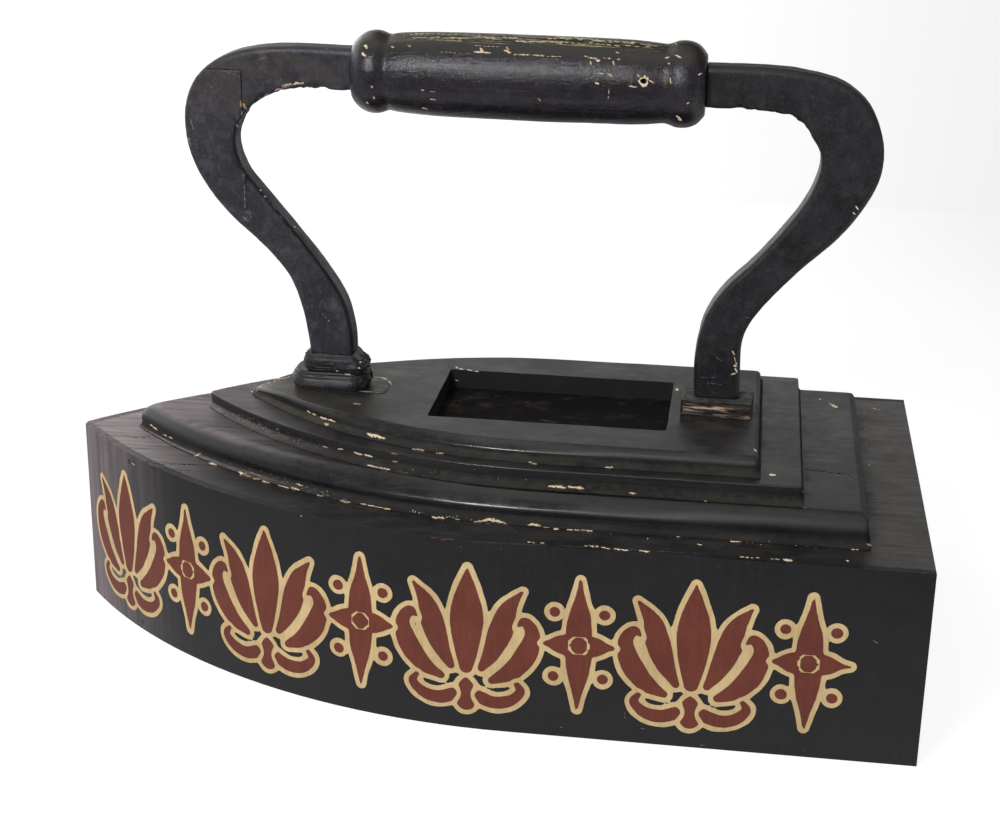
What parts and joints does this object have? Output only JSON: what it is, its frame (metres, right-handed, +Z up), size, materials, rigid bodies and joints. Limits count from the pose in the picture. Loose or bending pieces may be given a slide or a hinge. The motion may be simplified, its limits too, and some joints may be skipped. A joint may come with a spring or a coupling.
{
  "type": "wooden trade sign",
  "caption": "Painted wooden trade sign in the shape of an oversize flat iron: a hollow pointed box, stepped moulded boards with a shallow pocket, and a turned grip on two sawn S-curve posts.",
  "frame": {"origin": "middle of the flat underside, on the surface that the sign stands on", "axes": "+X from the pointed toe to the square heel, +Y to the far side, +Z up"},
  "size_m": [0.6, 0.3218, 0.4294],
  "materials": {
    "black_paint": "old black paint, semi-gloss, worn at the arrises",
    "worn_paint": "black paint worn through to bare wood on one face",
    "raw_wood": "unpainted, aged softwood",
    "dowel_wood": "unpainted turned hardwood",
    "steel": "dull, lightly rusted"
  },
  "bodies": {
    "root": {"side_front": "black_paint", "side_back": "black_paint", "heel_board": "black_paint", "deck_board": "black_paint", "bottom_board": "raw_wood", "toe_block": "raw_wood", "rib_toe": "raw_wood", "rib_heel": "raw_wood", "heel_corner_blocks": "raw_wood", "step_lower": "black_paint", "step_middle": "black_paint", "step_upper": "black_paint", "toe_foot_plate": "black_paint", "toe_collar_lower": "black_paint", "toe_collar_upper": "black_paint", "toe_post_leg": "black_paint", "toe_post_arm": "black_paint", "heel_foot_plate": "worn_paint", "heel_post": "black_paint", "grip": "black_paint", "toe_dowel": "dowel_wood", "heel_dowel": "dowel_wood", "grip_pin": "steel", "toe_lag_screw": "steel", "heel_lag_screw": "steel", "lag_washers": "steel", "deck_screws": "steel", "step_screws": "steel", "bottom_screws": "steel", "front_nails": "steel", "back_nails": "steel"}
  },
  "joints": []
}
